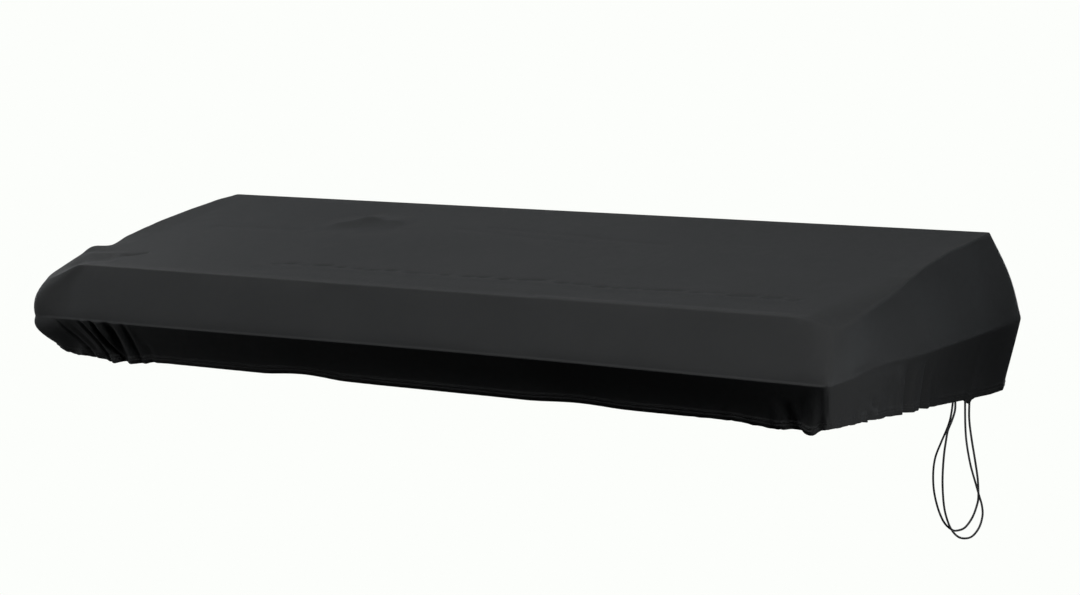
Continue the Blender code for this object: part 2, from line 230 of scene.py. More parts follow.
knit = dict(
    dark=(0.0185, 0.0195, 0.0200, 1.0), light=(0.0300, 0.0312, 0.0318, 1.0),
    stretchedAndHighlight=(0.046, 0.047, 0.048, 1.0),      # paler where the knit is drawn over an edge, and a painted highlight on the top behind the front ridge
    wale=0.0009, course=0.0007,                # width and height of a stitch of the knit
    clouds=(9.0, 4.0, 0.55), mottle=(120.0, 3.0, 0.6),    # scale, detail and roughness of the noise
    fibres=(2600.0, 2.0, 0.6), creases=(55.0, 3.0, 0.5),
    shares=dict(clouds=0.55, mottle=0.30, stitch=0.25, fibres=0.25), darker=0.22,    # what makes up the shade
    paler=0.30,                                # how much of the paler colour shows where the knit is drawn, and of the painted highlight behind the front ridge
    relief=0.00012, reliefStrength=0.6, creaseDepth=0.0004, creaseStrength=0.5,
    rough=0.80, roughSpread=0.20, smoother=0.05,    # smoother where the knit is drawn
    sheen=0.12, sheenRough=0.45, sheenTint=(0.86, 0.93, 1.0, 1.0),
)


def makeKnit():
    shader = Shader("stretch_knit", {
        "Sheen Weight": knit["sheen"], "Sheen Roughness": knit["sheenRough"],
        "Sheen Tint": knit["sheenTint"], "IOR": 1.42, "Specular IOR Level": 0.35})
    flat = shader.node("ShaderNodeUVMap", dict(uv_map="cut"))
    place = shader.node("ShaderNodeTexCoord", None, out=3)
    across, along, _ = apart(shader, flat)
    # a stitch is a V of two legs, one each side of the middle of its wale
    legs = abs((across / knit["wale"]).calc("FRACT") - 0.5)
    leg = ((legs - 0.25) * 4).calc("POWER", 2.0)
    rows = abs(((along / knit["course"] + legs) * pi).calc("SINE"))
    stitch = (1 - leg) * rows
    cloudy, mottled, fibre = (shader.noise(place, *knit[part]) for part in ("clouds", "mottle", "fibres"))
    # drawn marks paler stretched knit at turned lines and a painted highlight on the top behind the front
    # ridge
    drawn = shader.node("ShaderNodeAttribute", dict(attribute_name="drawn"), out=2)
    shares = knit["shares"]
    shade = cloudy * shares["clouds"] + mottled * shares["mottle"] + stitch * shares["stitch"]
    shade = (shade + fibre * shares["fibres"] - knit["darker"]).calc("ADD", 0.0, clamp=True)
    colour = shader.blend(shade, knit["dark"], knit["light"])
    shader.feed("Base Color", shader.blend(drawn * knit["paler"], colour, knit["stretchedAndHighlight"]))
    shader.feed("Roughness", knit["rough"] + (mottled - 0.5) * knit["roughSpread"] - drawn * knit["smoother"])
    height = stitch * 0.75 + fibre * 0.25
    fine = shader.node("ShaderNodeBump", None, Strength=knit["reliefStrength"], Distance=knit["relief"],
                       Height=height)
    soft = shader.node("ShaderNodeBump", None, Strength=knit["creaseStrength"], Distance=knit["creaseDepth"],
                       Height=shader.noise(place, *knit["creases"]), Normal=fine)
    shader.feed("Normal", soft)
    return shader.material


braid = dict(dark=(0.016, 0.017, 0.018, 1.0), light=(0.060, 0.062, 0.066, 1.0),
             strands=16, pitch=0.0032, relief=0.00016, rough=0.62)


def makeBraid():    # two sets of strands that cross
    shader = Shader("braided_elastic", {"Sheen Weight": 0.15, "Sheen Roughness": 0.4,
                                        "IOR": 1.45, "Specular IOR Level": 0.45})
    flat = shader.node("ShaderNodeUVMap", dict(uv_map="wrap"))
    place = shader.node("ShaderNodeTexCoord", None, out=3)
    around, along, _ = apart(shader, flat)
    turns = around * (braid["strands"] / 2)
    run = along / braid["pitch"]
    rising = ((turns + run) * tau).calc("SINE")
    falling = ((turns - run) * tau).calc("SINE")
    weave = rising.calc("MAXIMUM", falling) * 0.5 + 0.5
    fuzz = shader.noise(place, 3000.0, 2.0, 0.6)
    shader.feed("Base Color", shader.blend((weave * 0.7 + fuzz * 0.3).calc("ADD", 0.0, clamp=True),
                                           braid["dark"], braid["light"]))
    shader.feed("Roughness", braid["rough"] + fuzz * 0.15)
    shader.feed("Normal", shader.node("ShaderNodeBump", None, Strength=0.8, Distance=braid["relief"],
                                      Height=weave * 0.8 + fuzz * 0.2))
    return shader.material


thread = dict(dark=(0.022, 0.023, 0.024, 1.0), light=(0.034, 0.035, 0.037, 1.0), rough=0.6, relief=0.0001)


def makeThread():
    shader = Shader("sewing_thread", {"Roughness": thread["rough"], "Sheen Weight": 0.1})
    place = shader.node("ShaderNodeTexCoord", None, out=3)
    twist = shader.noise(place, 4000.0, 2.0, 0.5)
    shader.feed("Base Color", shader.blend(twist, thread["dark"], thread["light"]))
    shader.feed("Normal", shader.node("ShaderNodeBump", None, Strength=0.5, Distance=thread["relief"],
                                      Height=twist))
    return shader.material


knitCloth, braidedElastic, sewingThread = makeKnit(), makeBraid(), makeThread()
print("materials made")


# the cloth's shape
def endLift(side, y):
    if y <= endRidge[0]["y"]:
        return endRidge[0][side]
    for low, high in zip(endRidge, endRidge[1:]):
        if y <= high["y"]:
            return mix(low[side], high[side], ease((y - low["y"]) / (high["y"] - low["y"])))
    return endRidge[-1][side]


def reachAt(ring, side, back):
    return mix(rings[ring][side + "Front"], rings[ring][side + "Back"], back)


def planPoint(ring, across, back):    # across is -1 to 1 by length, back is 0 to 1 by depth
    row = rings[ring]
    side = "left" if across < 0 else "right"
    reach = reachAt(ring, side, back)
    x, y = abs(across) * reach, mix(row["front"], row["back"], back)
    roundOff = row[side + "Round"] if back < 0.5 else row["backRound"]
    middle = (row["front"] + row["back"]) / 2
    overX = (x - (reach - roundOff)) / roundOff
    overY = (abs(y - middle) - (row["back"] - middle - roundOff)) / roundOff
    if overX > 0 and overY > 0:
        pullIn = max(overX, overY) / hypot(overX, overY)
        x += overX * (pullIn - 1) * roundOff
        y -= overY * (pullIn - 1) * roundOff * (1 if y < middle else -1)
    return (-x if across < 0 else x), y


def topHeight(x, y):    # the plane, with each end turned down or lifted towards its own ridge
    side = "left" if x < 0 else "right"
    back = y / cover["depth"]
    turn = mix(shoulder[side + "Front"], shoulder[side + "Back"], back)
    past = (abs(x) - (reachAt("ridge", side, back) - turn)) / turn
    return planeHeight(y) + endLift(side, y) * min(max(past, 0.0), 1.0) ** cover["shoulderCurve"]


pullsOf = {where: [pull for pull in pulls if pull["of"] == where]
           for where in ("ridge", "widest", "hem", "upper", "lower")}


def pulled(point, where, strength):
    ring = "widest" if where in ("upper", "lower") else where
    shift = Vector((0.0, 0.0, 0.0))
    for pull in pullsOf[where]:
        if pull["side"] in ("front", "back"):
            centre = (pull["at"], rings[ring][pull["side"]])
        else:
            sign = outwards[pull["side"]][0]
            centre = (sign * reachAt(ring, pull["side"], pull["at"] / cover["depth"]), pull["at"])
        weight = bump(hypot(point.x - centre[0], point.y - centre[1]), pull["reach"])
        if weight:
            shift += Vector((pull["dx"], pull["dy"], pull["dz"])) * weight * strength
    return point + shift


def ringPoint(ring, across, back):
    x, y = planPoint(ring, across, back)
    height = {"ridge": lambda: topHeight(x, y), "widest": lambda: 0.0,
              "hem": lambda: -cover["hemFront"] - cover["hemRake"] * y}[ring]()
    return pulled(Vector((x, y, height)), ring, 1.0)


def sideOf(across, back):
    if back <= 0.0:
        return "front"
    if back >= 1.0:
        return "back"
    return "left" if across < 0 else "right"


# columns along the length and the depth: the place that a band ends at, and its steps
lengthBands = ((-0.508, 4), (-0.470, 14), (-0.350, 48), (-0.262, 18), (0.436, 116), (0.470, 14),
               (0.500, 12), (0.508, 5))
depthBands = ((0.008, 5), (0.034, 9), (0.057, 6), (0.084, 14), (0.250, 24), (0.268, 4), (0.325, 14),
              (0.385, 8), (0.392, 3), (0.400, 4))
# rows down the wall: part of the upper wall, part of the lower wall, height over the hem, and the
# way round the casing inside (in, up)
upperRows = (0.015, 0.04, 0.08, 0.14, 0.22, 0.32, 0.44, 0.56, 0.68, 0.79, 0.87, 0.92, 0.95, 0.975)
lowerRows = (0.0, 0.02, 0.05, 0.09, 0.15, 0.22, 0.31, 0.41, 0.51, 0.61, 0.69)
hemRows = (0.0118, 0.0103, 0.0096, 0.0089, 0.0081, 0.0066, 0.0054, 0.0045, 0.0036, 0.0018, 0.0)
casingRows = ((0.0012, -0.0003), (0.0026, 0.0006), (0.0034, 0.0030), (0.0034, 0.0062), (0.0024, 0.0090))
wallRows = ([("upper", part) for part in upperRows] + [("lower", part) for part in lowerRows]
            + [("hem", height) for height in hemRows] + [("casing", turn) for turn in casingRows])


def places(start, bands):
    found = [start]
    for end, steps in bands:
        begin = found[-1]
        found += [mix(begin, end, (step + 1) / steps) for step in range(steps)]
    return found


def wallPoint(across, back, zone, value):    # the point, its part down the lower wall, and both runs
    ridge, widest, hem = (ringPoint(ring, across, back) for ring in ("ridge", "widest", "hem"))
    upperRun, lowerRun = (ridge - widest).length, (hem - widest).length
    if zone == "upper":
        return pulled(ridge.lerp(widest, value), "upper", 4 * value * (1 - value)), 0.0, upperRun, lowerRun
    down = {"lower": lambda: value, "hem": lambda: 1 - value / lowerRun, "casing": lambda: 1.0}[zone]()
    inwards = 1 - (1 - down) ** cover["hug"]
    point = Vector((mix(widest.x, hem.x, inwards), mix(widest.y, hem.y, inwards), mix(widest.z, hem.z, down)))
    return pulled(point, "lower", 4 * down * (1 - down)), down, upperRun, lowerRun


# elastic cord loops
# each route runs from the front exit in the hem to the back one
cords = dict(
    diameter=0.0022, around=2, step=0.0020, tuck=0.003,
    routes={
        "cord_loop_short": (
            (0.4945, 0.2742, None), (0.4925, 0.2742, -0.0745), (0.4905, 0.2736, -0.0840),
            (0.4875, 0.2718, -0.0935), (0.4830, 0.2688, -0.1057), (0.4778, 0.2662, -0.1208),
            (0.4757, 0.2652, -0.1368), (0.4760, 0.2658, -0.1556), (0.4784, 0.2699, -0.1750),
            (0.4818, 0.2758, -0.1895), (0.4861, 0.2832, -0.1978), (0.4892, 0.2886, -0.1998),
            (0.4940, 0.2968, -0.1980), (0.4985, 0.3045, -0.1890), (0.5013, 0.3095, -0.1774),
            (0.5024, 0.3113, -0.1680), (0.5021, 0.3109, -0.1498), (0.5004, 0.3087, -0.1293),
            (0.4974, 0.3074, -0.1068), (0.4950, 0.3078, -0.0873), (0.4950, 0.3088, None)),
        "cord_loop_long": (
            (0.4945, 0.2788, None), (0.4957, 0.2755, -0.0725), (0.4947, 0.2702, -0.0825),
            (0.4920, 0.2666, -0.0920), (0.4897, 0.2664, -0.1035), (0.4873, 0.2670, -0.1160),
            (0.4858, 0.2667, -0.1324), (0.4855, 0.2661, -0.1485), (0.4860, 0.2670, -0.1673),
            (0.4874, 0.2694, -0.1814), (0.4903, 0.2742, -0.1950), (0.4940, 0.2809, -0.2036),
            (0.4983, 0.2883, -0.2068), (0.5029, 0.2959, -0.2056), (0.5070, 0.3032, -0.1975),
            (0.5090, 0.3068, -0.1860), (0.5087, 0.3063, -0.1755), (0.5070, 0.3034, -0.1640),
            (0.5053, 0.3000, -0.1520), (0.5020, 0.2952, -0.1314), (0.4990, 0.2934, -0.1089),
            (0.4966, 0.2958, -0.0908), (0.4950, 0.2992, None)),
    },
)


def hemHeight(y):    # the hem's edge at the right end
    back = (y - rings["hem"]["front"]) / (rings["hem"]["back"] - rings["hem"]["front"])
    return ringPoint("hem", 1.0, back).z


def smoothRoute(points, step):    # even steps along a smooth curve through the route's points
    curve = []
    ends = [points[0] * 2 - points[1]] + points + [points[-1] * 2 - points[-2]]
    for before, start, end, after in zip(ends, ends[1:], ends[2:], ends[3:]):
        for part in (index / 48 for index in range(48)):
            bend = (2 * start + (end - before) * part
                    + (2 * before - 5 * start + 4 * end - after) * part ** 2
                    + (3 * start - before - 3 * end + after) * part ** 3)
            curve.append(bend / 2)
    curve.append(points[-1])
    length = sum((b - a).length for a, b in zip(curve, curve[1:]))
    spacing = length / round(length / step)
    found, walked = [curve[0]], 0.0
    for a, b in zip(curve, curve[1:]):
        walked += (b - a).length
        if walked >= spacing * len(found) - 1e-6:
            found.append(b)
    found[-1] = curve[-1]
    return found, length


def makeCord(name, route):
    tuck = cords["tuck"]
    points = [Vector((x, y, hemHeight(y) + tuck if z is None else z)) - origin for x, y, z in route]
    track, length = smoothRoute(points, cords["step"])
    line = bpy.data.curves.new(name, "CURVE")
    line.dimensions = "3D"
    line.bevel_depth = cords["diameter"] / 2
    line.bevel_resolution = cords["around"]
    line.use_fill_caps = True
    spline = line.splines.new("POLY")
    spline.points.add(len(track) - 1)
    for spot, place in zip(spline.points, track):
        spot.co = (*place, 1.0)
    drawn = bpy.data.objects.new(name + "_line", line)
    bpy.context.scene.collection.objects.link(drawn)
    mesh = bpy.data.meshes.new_from_object(drawn.evaluated_get(bpy.context.evaluated_depsgraph_get()))
    bpy.data.objects.remove(drawn, do_unlink=True)
    mesh.name = name
    mesh.uv_layers[0].name = "wrap"
    for spot in mesh.uv_layers["wrap"].uv:    # around the cord as parts of a turn, along it in metres
        spot.vector = (spot.vector.x, spot.vector.y * length)
    mesh.shade_smooth()
    mesh.materials.clear()
    mesh.materials.append(braidedElastic)
    cord = bpy.data.objects.new(name + "_braid", mesh)
    bpy.context.scene.collection.objects.link(cord)
    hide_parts(name)
    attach(cord, "root")
    print("  ", name, round(length, 4), "m,", len(mesh.polygons), "faces")


for name, route in cords["routes"].items():
    makeCord(name, route)
print("cords made")


# folds of the cloth
# main gathers of the walls: place at the widest line and at the hem, how far up they reach, and size
gathers = (
    dict(side="front", top=-0.482, hem=-0.442, rise=1.00, width=0.0026, depth=0.0013),
    dict(side="front", top=-0.466, hem=-0.430, rise=0.80, width=0.0030, depth=0.0008),
    dict(side="front", top=-0.446, hem=-0.416, rise=1.00, width=0.0026, depth=0.0021),
    dict(side="front", top=-0.4290, hem=-0.4035, rise=1.00, width=0.0040, depth=0.0042),
    dict(side="front", top=-0.4035, hem=-0.3990, rise=1.00, width=0.0062, depth=0.0040),
    dict(side="front", top=-0.3790, hem=-0.3760, rise=1.00, width=0.0036, depth=0.0020),
    dict(side="front", top=-0.3560, hem=-0.3560, rise=0.45, width=0.0040, depth=0.0012),
    dict(side="front", top=0.452, hem=0.458, rise=0.60, width=0.0060, depth=0.0025),
    dict(side="right", top=0.118, hem=0.103, rise=0.50, width=0.0024, depth=0.0040),
    dict(side="right", top=0.132, hem=0.136, rise=0.62, width=0.0030, depth=0.0020),
    dict(side="right", top=0.163, hem=0.172, rise=0.85, width=0.0060, depth=0.0066),
    dict(side="right", top=0.198, hem=0.207, rise=0.85, width=0.0044, depth=0.0046),
    dict(side="right", top=0.214, hem=0.226, rise=0.60, width=0.0036, depth=0.0022),
    dict(side="left", top=0.080, hem=0.092, rise=0.80, width=0.0045, depth=0.0022),
    dict(side="left", top=0.128, hem=0.136, rise=0.70, width=0.0042, depth=0.0020),
    dict(side="left", top=0.188, hem=0.192, rise=0.60, width=0.0040, depth=0.0018),
    dict(side="back", top=-0.452, hem=-0.440, rise=0.60, width=0.0050, depth=0.0022),
    dict(side="back", top=0.448, hem=0.436, rise=0.60, width=0.0050, depth=0.0022),
)
lip = dict(height=0.45, aside=1.9)       # raised cloth beside a gather, in its own units
fade = dict(past=0.12, over=0.35)        # how a gather dies out over its rise
cornerFade = 0.012                       # small folds die out this near a corner
cornerShare = 0.5                        # what is left of a gather at a corner
ruffle = dict(height=0.0017, pitch=0.026, endReach=0.30, frontFrom=0.30, frontOver=0.10, lift=0.6,
              reach=0.020)

# small puckers that the hem's elastic draws in: how far apart, how high, and how deep at their most;
# they are quiet along the middle of the front and the back, and towards the back of the ends
puckers = dict(seed=7, apart=(0.0065, 0.0135), high=(0.008, 0.026), width=(0.0016, 0.0030), deep=0.0011,
               lean=0.45, raised=0.25, quiet=0.18, loudFrom=0.30, loudOver=0.12, endQuiet=0.45, endOver=0.34)

# soft relief of the top: a ridge (+) or trough (-) along a line, its half width and height
topFolds = (
    dict(x1=-0.262, y1=0.222, x2=-0.190, y2=0.226, width=0.020, height=-0.0010),    # before the crest
    dict(x1=-0.490, y1=0.070, x2=-0.452, y2=0.080, width=0.007, height=0.0022),     # wrinkles at the left
    dict(x1=-0.440, y1=0.0795, x2=-0.424, y2=0.0925, width=0.0034, height=-0.0019),
    dict(x1=-0.490, y1=0.048, x2=-0.455, y2=0.060, width=0.009, height=-0.0022),
    dict(x1=0.160, y1=0.0385, x2=0.445, y2=0.0385, width=0.0040, height=0.0007),    # lip of the front ridge
    dict(x1=-0.250, y1=0.079, x2=0.430, y2=0.079, width=0.0050, height=0.0005),     # before the imprint
    dict(x1=-0.096, y1=0.2490, x2=0.098, y2=0.2190, width=0.0060, height=-0.0006),  # faint lines of the back
    dict(x1=-0.060, y1=0.2600, x2=0.180, y2=0.2330, width=0.0060, height=-0.0005),
    dict(x1=-0.415, y1=0.2075, x2=-0.296, y2=0.2110, width=0.0070, height=-0.0007),
)
# sharper ridges of the top: a crest along a line, how far it slopes to the front, back and ends
crests = (
    dict(x1=-0.258, y1=0.243, x2=-0.231, y2=0.258, front=0.022, back=0.040, end=0.026, height=0.0034),
    dict(x1=-0.231, y1=0.258, x2=-0.200, y2=0.258, front=0.026, back=0.045, end=0.030, height=0.0038),
)
# the imprint of the edge below: short dents along a line
imprint = dict(seed=4, start=-0.225, end=0.436, y=0.0875, long=(0.002, 0.015), between=(0.010, 0.024),
               wander=0.0024, slant=0.20, width=0.0027, depth=0.0023, taper=0.0045, reach=0.012)
# slack that shows as soft shading, and where it dies out: inside the ends of the top and along each wall
waves = dict(seed=11, count=7, long=(0.09, 0.24), height=0.00032, topEnd=0.49, topOver=0.03,
             upperShift=0.3, upperOver=0.2, lowerShift=-0.7, lowerOver=0.3)
rollIn = dict(high=0.011, depth=0.0017)    # the front wall turns in above its widest line
casing = dict(bulge=0.0009, high=0.0096, past=1.4, seams=((0.0088, 0.0008), (0.0045, 0.0006)),
              seamWidth=0.0009, strength={"front": 1.0, "back": 0.6, "left": 0.45, "right": 0.30})
# folds on the walls: a ridge along a line from one place and height to another, with its half widths
wallFolds = (
    dict(side="front", x1=-0.4715, y1=0.0545, x2=-0.4990, y2=0.0320, left=0.0120, right=0.0100,
         height=0.0016),
)
# cloth drawn up the front right corner: its middle and reach in height, and how far back it goes
cornerRidge = dict(height=0.0030, width=0.0028, middle=0.014, reach=0.036, back=0.05)
# paler cloth along a turned line, with a painted highlight on the top behind the front ridge
paleAndHighlightReach = dict(lip=0.015, lipEnd=0.485, lipOver=0.04, other=0.004, otherStrength=0.3)


def makeDents():
    rng, found, spot = random.Random(imprint["seed"]), [], imprint["start"]
    while spot < imprint["end"]:
        length = rng.uniform(*imprint["long"])
        found.append(dict(x1=spot, x2=spot + length, y=imprint["y"] + rng.uniform(-1, 1) * imprint["wander"],
                          slant=imprint["slant"] * rng.uniform(0.0, 1.0),
                          depth=imprint["depth"] * rng.uniform(0.3, 1.0)))
        spot += length + rng.uniform(*imprint["between"])
    return found


def makeSwells():
    rng = random.Random(waves["seed"])
    return [dict(angle=rng.uniform(0, pi), long=rng.uniform(*waves["long"]), phase=rng.uniform(0, tau),
                 height=waves["height"] * rng.uniform(0.5, 1.0)) for _ in range(waves["count"])]


def hemUnrest(side, place):    # near 0 where the hem runs quiet, 1 where its elastic bunches the cloth
    if side in ("left", "right"):
        return mix(1.0, puckers["endQuiet"], ease(place / puckers["endOver"]))
    return mix(puckers["quiet"], 1.0, ease((abs(place) - puckers["loudFrom"]) / puckers["loudOver"]))


def makePuckers():
    rng, found = random.Random(puckers["seed"]), {}
    for side, start, end in (("front", -0.50, 0.50), ("back", -0.50, 0.50), ("left", 0.0, 0.40),
                             ("right", 0.0, 0.40)):
        found[side], spot = [], start
        while spot < end:
            spot += rng.uniform(*puckers["apart"])
            found[side].append(dict(
                at=spot, high=rng.uniform(*puckers["high"]), width=rng.uniform(*puckers["width"]),
                lean=rng.uniform(-1, 1) * puckers["lean"],
                deep=puckers["deep"] * rng.uniform(0.35, 1.0) * hemUnrest(side, spot)))
    return found


dents, swells, puckersOf = makeDents(), makeSwells(), makePuckers()
gathersOf = {side: [gather for gather in gathers if gather["side"] == side] for side in outwards}


def gatherDepth(side, place, up):    # up is 0 at the hem and 1 at the widest line
    out = 0.0
    for gather in gathersOf[side]:
        aside = abs(place - mix(gather["hem"], gather["top"], up)) / gather["width"]
        if aside < 5:
            strength = ease((gather["rise"] + fade["past"] - up) / fade["over"])
            raised = lip["height"] * exp(-(aside - lip["aside"]) ** 2)
            out += gather["depth"] * strength * (raised - exp(-aside ** 2))
    return out


def puckerDepth(side, place, height):
    out = 0.0
    for pucker in puckersOf[side]:
        aside = abs(place - pucker["at"] - pucker["lean"] * height) / pucker["width"]
        if aside < 3 and height < pucker["high"]:
            strength = (1 - (height / pucker["high"]) ** 2) ** 2
            out -= pucker["deep"] * strength * (exp(-aside ** 2) - puckers["raised"] * exp(-(aside - 2) ** 2))
    return out


def casingProfile(height):    # the rolled hem: a casing between two sewn lines
    out = casing["bulge"] * sin(pi * min(height / casing["high"], 1.0))
    for at, high in casing["seams"]:
        out += high * exp(-((height - at) / casing["seamWidth"]) ** 2)
    return out


def ruffleWave(side, place):
    if side in ("left", "right"):
        strength = bump(place, ruffle["endReach"])
    else:
        strength = ease((abs(place) - ruffle["frontFrom"]) / ruffle["frontOver"])
    return ruffle["height"] * strength * sin(tau * place / ruffle["pitch"])


def slack(a, b):
    return sum(swell["height"] * sin(tau * (a * cos(swell["angle"]) + b * sin(swell["angle"])) / swell["long"]
                                     + swell["phase"]) for swell in swells)


def fromFold(x, y, fold):    # distance to the fold's line
    runX, runY = fold["x2"] - fold["x1"], fold["y2"] - fold["y1"]
    part = ((x - fold["x1"]) * runX + (y - fold["y1"]) * runY) / (runX ** 2 + runY ** 2)
    part = min(max(part, 0.0), 1.0)
    return hypot(x - fold["x1"] - part * runX, y - fold["y1"] - part * runY)


def wallFoldHeight(side, place, z):
    out = 0.0
    for fold in wallFolds:
        if fold["side"] == side:
            runX, runY = fold["x2"] - fold["x1"], fold["y2"] - fold["y1"]
            onLeft = (place - fold["x1"]) * runY - (z - fold["y1"]) * runX > 0
            away = fromFold(place, z, fold) / fold["left" if onLeft else "right"]
            out += fold["height"] * max(0.0, 1 - away) ** 1.4
    return out


def crestHeight(x, y, fold):
    runX, runY = fold["x2"] - fold["x1"], fold["y2"] - fold["y1"]
    length = hypot(runX, runY)
    part = ((x - fold["x1"]) * runX + (y - fold["y1"]) * runY) / length ** 2
    behind = ((y - fold["y1"]) * runX - (x - fold["x1"]) * runY) / length
    away = abs(behind) / fold["back" if behind > 0 else "front"]
    return fold["height"] * max(0.0, 1 - away) ** 2 * bump(max(-part, part - 1, 0.0) * length, fold["end"])


def topRelief(x, y):
    height = sum(fold["height"] * exp(-(fromFold(x, y, fold) / fold["width"]) ** 2) for fold in topFolds)
    height += sum(crestHeight(x, y, fold) for fold in crests)
    if abs(y - imprint["y"]) < imprint["reach"]:
        for dent in dents:
            past = max(dent["x1"] - x, x - dent["x2"], 0.0) / imprint["taper"]
            beside = (y - dent["y"] - dent["slant"] * (x - dent["x1"])) / imprint["width"]
            height -= dent["depth"] * exp(-past ** 2 - beside ** 2)
    inside = min(waves["topEnd"] - abs(x), y - rings["ridge"]["front"], rings["ridge"]["back"] - y)
    return height + slack(x, y) * ease(inside / waves["topOver"])


columns, ranks = places(-rings["widest"]["leftFront"], lengthBands), places(0.0, depthBands)
lastColumn, lastRank = len(columns) - 1, len(ranks) - 1
widestRow, edgeRow = len(upperRows) + 1, len(wallRows) - len(casingRows)
steadyRow = edgeRow - 3    # the rows under it fold in its direction
halfLength = 0.508         # to the corners, where the small folds die out


def cutCloth():    # an open box cut into columns, ranks and rows
    bm = bmesh.new()
    # drawn holds the paler stretched knit at turned lines and a painted highlight behind the front ridge
    bm.verts.layers.float.new("drawn")
    bm.loops.layers.uv.new("cut")
    bmesh.ops.create_cube(bm, size=1.0)
    under = [face for face in bm.faces if face.calc_center_median().z < -0.4]
    bmesh.ops.delete(bm, geom=under, context="FACES_ONLY")
    for axis, cuts in enumerate((lastColumn - 1, lastRank - 1, len(wallRows) - 1)):
        edges = [edge for edge in bm.edges if abs(edge.verts[0].co[axis] - edge.verts[1].co[axis]) > 0.9]
        bmesh.ops.subdivide_edges(bm, edges=edges, cuts=cuts, use_grid_fill=True)
    return bm


def drapeCloth(bm):    # sets every point on the smooth form, and notes what its folds need
    noted = {}
    for vert in bm.verts:
        column = round((vert.co.x + 0.5) * lastColumn)
        rank = round((vert.co.y + 0.5) * lastRank)
        row = round((0.5 - vert.co.z) * len(wallRows))
        across = columns[column] / rings["widest"]["leftFront" if columns[column] < 0 else "rightFront"]
        back = ranks[rank] / cover["depth"]
        side = sideOf(across, back)
        zone, value = wallRows[row - 1] if row else ("top", 0.0)
        if row:
            point, down, upperRun, lowerRun = wallPoint(across, back, zone, value)
            cut = upperRun * value if zone == "upper" else upperRun + lowerRun * down
            edge = min(cut, upperRun - cut) if zone == "upper" else cut - upperRun
        else:
            point, down, lowerRun, cut = ringPoint("ridge", across, back), 0.0, 0.0, 0.0
            edge = min(reachAt("ridge", "left" if across < 0 else "right", back) - abs(point.x),
                       point.y - rings["ridge"]["front"], rings["ridge"]["back"] - point.y)
        if zone == "casing":
            into, up = value
            point += Vector((-outwards[side][0] * into, -outwards[side][1] * into, up))
            cut += into + up
        vert.co = point
        height = value if zone == "hem" else (1 - down) * lowerRun
        noted[vert] = dict(key=(column, rank, row), zone=zone, value=value, side=side, down=down,
                           height=height, cut=cut, edge=edge)
    return noted


def roundLines(bm, noted):    # where the cloth turns over an edge
    def fromRidge(note):
        column, rank, row = note["key"]
        return row if row else min(column, lastColumn - column, rank, lastRank - rank)

    ridge = [vert for vert, note in noted.items() if fromRidge(note) <= rounding["rows"]]
    widest = [vert for vert, note in noted.items() if abs(note["key"][2] - widestRow) <= rounding["rows"]]
    softEnd = [vert for vert, note in noted.items() if fromRidge(note) <= rounding["softRows"]
               and vert.co.x > rounding["softFrom"] and vert.co.y < rounding["softDepth"]]
    for group, passes in ((ridge, rounding["ridgePasses"]), (widest, rounding["widestPasses"]),
                          (softEnd, rounding["softPasses"])):
        for _ in range(passes):
            bmesh.ops.smooth_vert(bm, verts=group, factor=rounding["blend"],
                                  use_axis_x=True, use_axis_y=True, use_axis_z=True)
    bm.normal_update()


def foldCloth(bm, noted):    # gathers, puckers and slack, along the wall's own direction
    at = {note["key"]: vert for vert, note in noted.items()}
    normals = {vert: vert.normal.copy() for vert in bm.verts}
    for vert, note in noted.items():
        x, y, z = vert.co
        side, zone, height = note["side"], note["zone"], note["height"]
        if zone == "top":
            vert.co.z += topRelief(x, y)
            continue
        along = side in ("front", "back")
        place = x if along else y
        toCorner = halfLength - abs(x) if along else min(y, cover["depth"] - y)
        calm = ease(toCorner / cornerFade)
        column, rank, row = note["key"]
        out, lift = 0.0, 0.0
        if zone == "upper":
            value, over = note["value"], waves["upperOver"]
            middle = ease(value / over) * ease((1 - value) / over)
            out += slack(place + waves["upperShift"], z) * middle * calm
            out += wallFoldHeight(side, place, z)
            if x > 0 and y < cornerRidge["back"]:
                toRight = rings["widest"]["rightFront"] - x if side == "front" else y
                out += (cornerRidge["height"] * exp(-(toRight / cornerRidge["width"]) ** 2)
                        * bump(z - cornerRidge["middle"], cornerRidge["reach"]))
            if side == "front":
                out -= rollIn["depth"] * max(0.0, 1 - z / rollIn["high"]) ** 2 * calm
        elif zone in ("lower", "hem"):
            out += gatherDepth(side, place, 1 - note["down"]) * mix(cornerShare, 1.0, calm)
            out += puckerDepth(side, place, height) * calm
            out += slack(place + waves["lowerShift"], z) * ease(note["down"] / waves["lowerOver"]) * calm
            if height < casing["high"] * casing["past"]:
                out += casingProfile(height) * casing["strength"][side]
            wave = ruffleWave(side, place) * ease(1 - height / ruffle["reach"])
            out += wave
            lift = wave * ruffle["lift"]
        direction = normals[at[(column, rank, min(row, steadyRow))]]
        vert.co += direction * out + Vector((0.0, 0.0, lift))
    for vert, note in noted.items():    # the casing turns up inside the hem's edge
        if note["zone"] == "casing":
            column, rank, _ = note["key"]
            edge, direction = at[(column, rank, edgeRow)], normals[at[(column, rank, steadyRow)]]
            inwards = Vector((-direction.x, -direction.y, 0.0)).normalized()
            into, up = note["value"]
            vert.co = edge.co + inwards * into + Vector((0.0, 0.0, up))


def sideOfFace(keys):
    if all(row == 0 for _, _, row in keys):
        return "top"
    if all(rank == 0 for _, rank, _ in keys):
        return "front"
    if all(rank == lastRank for _, rank, _ in keys):
        return "back"
    return "left" if all(column == 0 for column, _, _ in keys) else "right"


